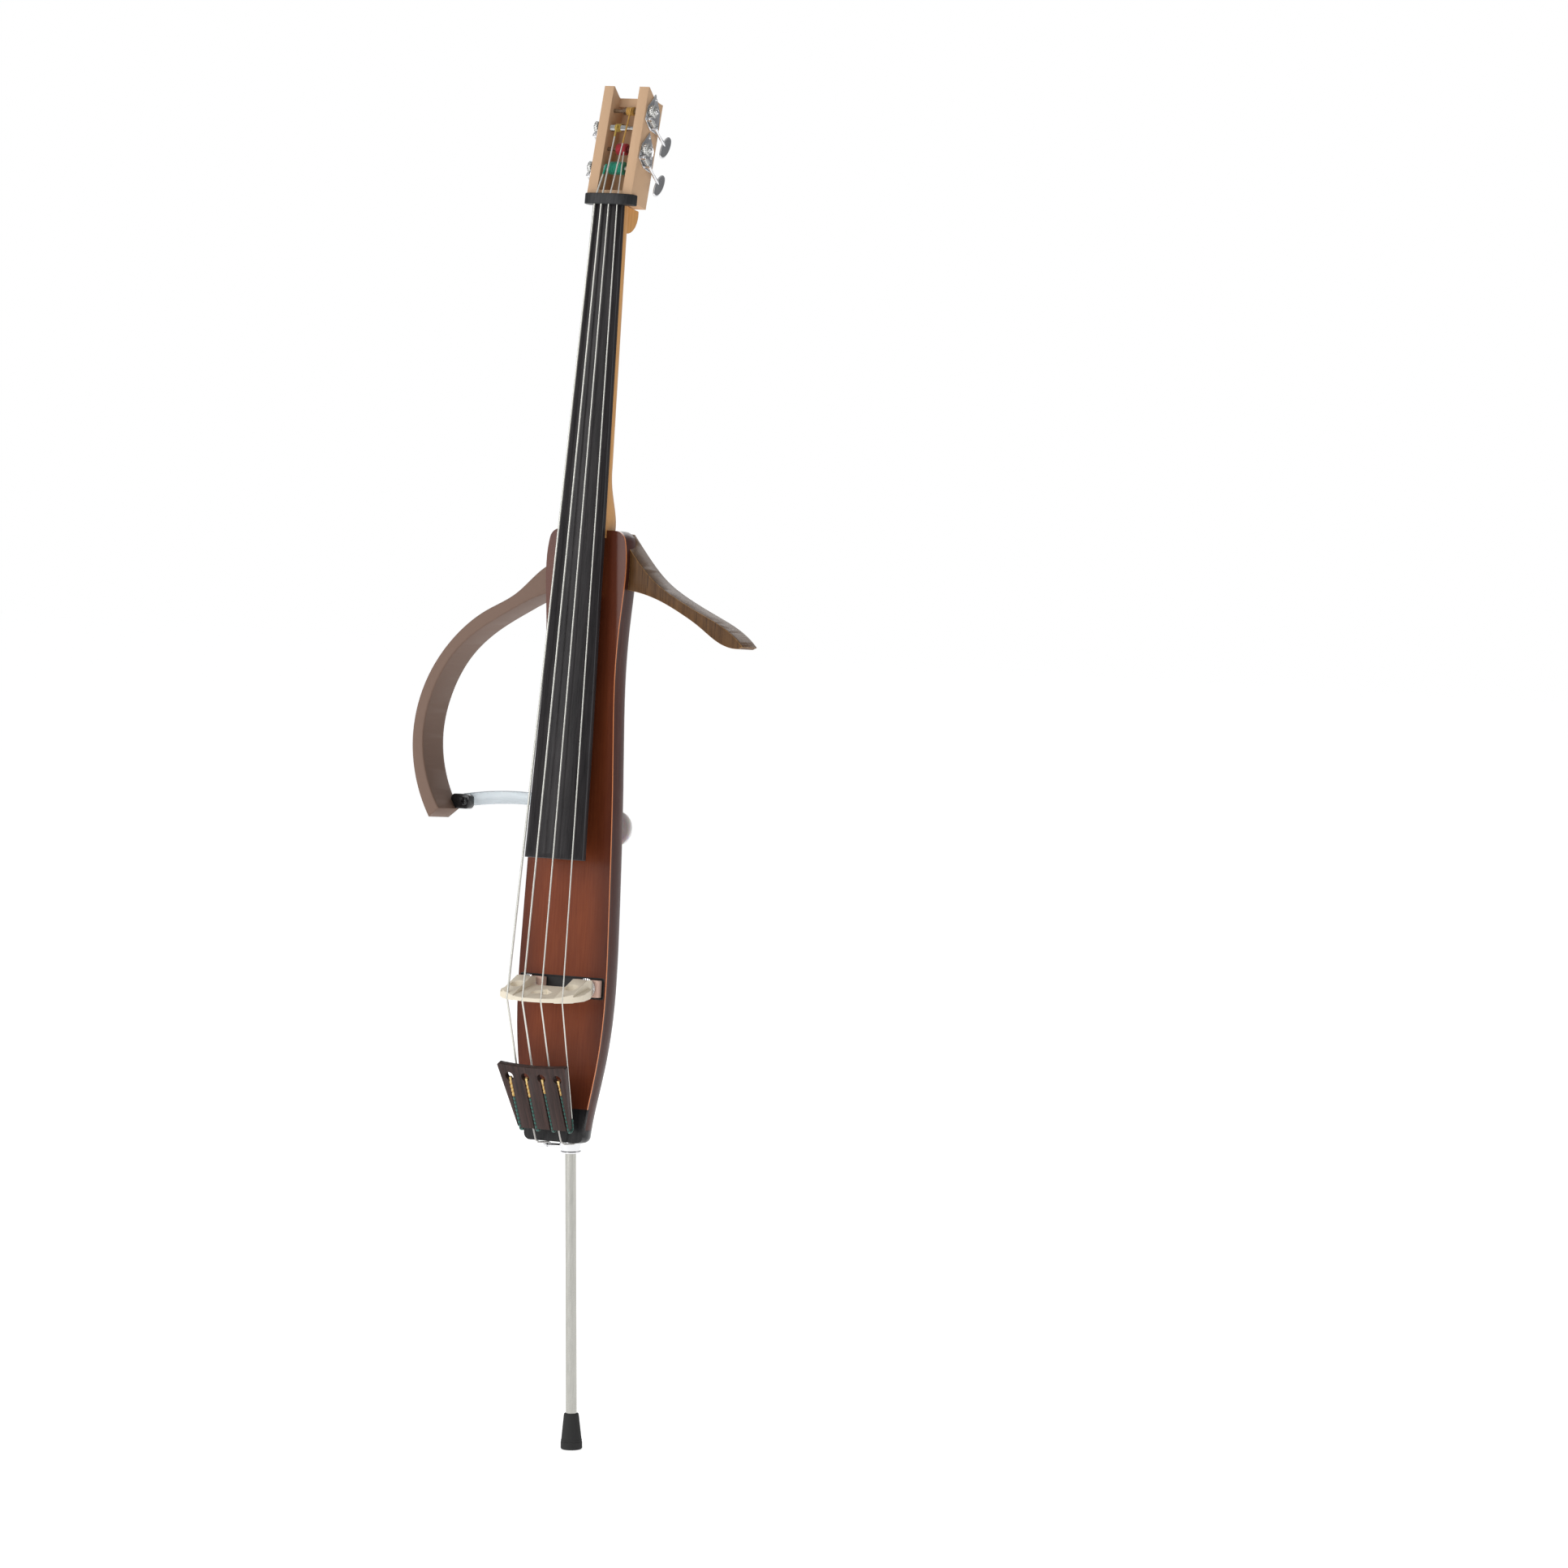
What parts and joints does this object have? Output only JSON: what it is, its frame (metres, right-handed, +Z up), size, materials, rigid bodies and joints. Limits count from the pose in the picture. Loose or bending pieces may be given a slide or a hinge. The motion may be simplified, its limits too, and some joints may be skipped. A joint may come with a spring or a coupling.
{
  "type": "electric upright bass",
  "caption": "Slim-bodied electric upright bass with bolt-on bout frames, an open pegbox with geared machine heads, a carved bridge on adjusters and a telescoping endpin.",
  "frame": {"origin": "middle of the endpin's rubber foot, on the floor, where the instrument stands when it is played", "axes": "+Z up along the endpin, -Y out of the strings' side, +X to the right of someone facing the strings; the body leans back from the endpin by 6.65 degrees"},
  "size_m": [0.4852, 0.2882, 1.7492],
  "materials": {
    "body_wood": "gloss sunburst lacquer over straight-grained softwood",
    "back_wood": "gloss dark red-brown lacquer",
    "head_wood": "satin pale hardwood",
    "neck_wood": "satin flamed maple",
    "walnut": "satin walnut",
    "black_hardwood": "satin black hardwood",
    "tail_wood": "satin black-brown hardwood",
    "bridge_maple": "unvarnished pale maple",
    "foot_maple": "unvarnished pink maple",
    "chrome": "polished chrome",
    "steel": "drawn steel",
    "wound_steel": "flat-wound bright steel over a rope core",
    "silk_teal": "twisted silk over the string's end",
    "silk_yellow": "twisted silk over the string's end",
    "silk_gold": "twisted silk over the string's end",
    "silk_red": "twisted silk over the string's end",
    "rubber": "matte rubber",
    "clear_band": "clear bent acrylic",
    "pad": "soft translucent grey rubber",
    "black_plastic": "matte black moulding",
    "piezo": "plain brass-backed sensing discs",
    "circuit": "green circuit board",
    "battery": "printed metal cell jackets with no lettering",
    "cable": "braided black cord"
  },
  "bodies": {
    "instrument": {"top_plate": "body_wood", "body_back": "back_wood", "left_frame": "walnut", "right_frame": "walnut", "pegbox": "head_wood", "neck": "neck_wood", "fingerboard": "black_hardwood", "nut": "black_hardwood", "tailpiece": "tail_wood", "end_saddle": "black_hardwood", "bridge": "bridge_maple", "bridge_feet": "foot_maple", "band": "clear_band", "band_clip": "black_plastic", "clip_screw": "black_plastic", "body_pad": "pad", "pad_stud": "black_plastic", "frame_bolts": "steel", "endpin_collar": "steel", "pickup_tray": "black_plastic", "pickups": "piezo", "preamp_board": "circuit", "pots": "steel", "battery_box": "black_plastic", "battery_cells": "battery", "control_panel": "black_plastic", "panel_screws": "steel", "output_jack": "steel", "phones_jack": "steel", "tail_wires": "cable", "string_e": "wound_steel", "tuner_plate_e": "chrome", "string_a": "wound_steel", "tuner_plate_a": "chrome", "string_d": "wound_steel", "tuner_plate_d": "chrome", "string_g": "wound_steel", "tuner_plate_g": "chrome"},
    "post_e": {"post_e": "steel", "winding_e": "silk_teal"},
    "key_e": {"key_e": "chrome"},
    "post_a": {"post_a": "steel", "winding_a": "silk_yellow"},
    "key_a": {"key_a": "chrome"},
    "post_d": {"post_d": "steel", "winding_d": "silk_gold"},
    "key_d": {"key_d": "chrome"},
    "post_g": {"post_g": "steel", "winding_g": "silk_red"},
    "key_g": {"key_g": "chrome"},
    "endpin": {"endpin_tube": "steel", "endpin_foot": "rubber"},
    "thumbscrew": {"thumbscrew": "chrome"},
    "adjuster_left": {"adjuster_left": "steel"},
    "adjuster_right": {"adjuster_right": "steel"},
    "knob_volume": {"knob_volume": "black_plastic"},
    "knob_bass": {"knob_bass": "black_plastic"},
    "knob_treble": {"knob_treble": "black_plastic"},
    "power_switch": {"power_switch": "black_plastic"},
    "battery_door": {"battery_door": "black_plastic"}
  },
  "joints": [
    {"name": "post_e_turn", "type": "hinge", "parent": "instrument", "child": "post_e", "pos_m": [0, 0.12296, 1.64518], "axis": [1, 0, 0], "continuous": true},
    {"name": "key_e_turn", "type": "hinge", "parent": "instrument", "child": "key_e", "pos_m": [-0.039, 0.11459, 1.63721], "axis": [0, 0.6896, -0.7242], "continuous": true},
    {"name": "post_a_turn", "type": "hinge", "parent": "instrument", "child": "post_a", "pos_m": [0, 0.13984, 1.69594], "axis": [1, 0, 0], "continuous": true},
    {"name": "key_a_turn", "type": "hinge", "parent": "instrument", "child": "key_a", "pos_m": [-0.039, 0.13148, 1.68798], "axis": [0, 0.6896, -0.7242], "continuous": true},
    {"name": "post_d_turn", "type": "hinge", "parent": "instrument", "child": "post_d", "pos_m": [0, 0.14695, 1.71729], "axis": [1, 0, 0], "continuous": true},
    {"name": "key_d_turn", "type": "hinge", "parent": "instrument", "child": "key_d", "pos_m": [0.039, 0.13858, 1.70933], "axis": [0, 0.6896, -0.7242], "continuous": true},
    {"name": "post_g_turn", "type": "hinge", "parent": "instrument", "child": "post_g", "pos_m": [0, 0.13091, 1.66909], "axis": [1, 0, 0], "continuous": true},
    {"name": "key_g_turn", "type": "hinge", "parent": "instrument", "child": "key_g", "pos_m": [0.039, 0.12255, 1.66112], "axis": [0, 0.6896, -0.7242], "continuous": true},
    {"name": "endpin_slide", "type": "slide", "parent": "instrument", "child": "endpin", "axis": [0, 0, 1], "range_m": [0, 0.16]},
    {"name": "thumbscrew_turn", "type": "hinge", "parent": "instrument", "child": "thumbscrew", "pos_m": [-0.02, 0, 0.394], "axis": [-1, 0, 0], "continuous": true},
    {"name": "adjuster_left_turn", "type": "hinge", "parent": "instrument", "child": "adjuster_left", "pos_m": [-0.0435, -0.03305, 0.60595], "axis": [0, -0.9933, 0.1158], "continuous": true},
    {"name": "adjuster_right_turn", "type": "hinge", "parent": "instrument", "child": "adjuster_right", "pos_m": [0.0435, -0.03305, 0.60595], "axis": [0, -0.9933, 0.1158], "continuous": true},
    {"name": "knob_volume_turn", "type": "hinge", "parent": "instrument", "child": "knob_volume", "pos_m": [0, 0.077, 0.92817], "axis": [0, 0.9933, -0.1158], "range_deg": [0, 270]},
    {"name": "knob_bass_turn", "type": "hinge", "parent": "instrument", "child": "knob_bass", "pos_m": [0, 0.07978, 0.95201], "axis": [0, 0.9933, -0.1158], "range_deg": [0, 270]},
    {"name": "knob_treble_turn", "type": "hinge", "parent": "instrument", "child": "knob_treble", "pos_m": [0, 0.08256, 0.97585], "axis": [0, 0.9933, -0.1158], "range_deg": [0, 270]},
    {"name": "power_switch_slide", "type": "slide", "parent": "instrument", "child": "power_switch", "axis": [1, 0, 0], "range_m": [0, 0.004]},
    {"name": "battery_door_hinge", "type": "hinge", "parent": "instrument", "child": "battery_door", "pos_m": [0, 0.03843, 0.63618], "axis": [-1, 0, 0], "range_deg": [0, 90]}
  ],
  "couplings": [
    {"joint": "post_e_turn", "follows": "key_e_turn", "ratio": 0.0625},
    {"joint": "post_a_turn", "follows": "key_a_turn", "ratio": 0.0625},
    {"joint": "post_d_turn", "follows": "key_d_turn", "ratio": 0.0625},
    {"joint": "post_g_turn", "follows": "key_g_turn", "ratio": 0.0625}
  ]
}
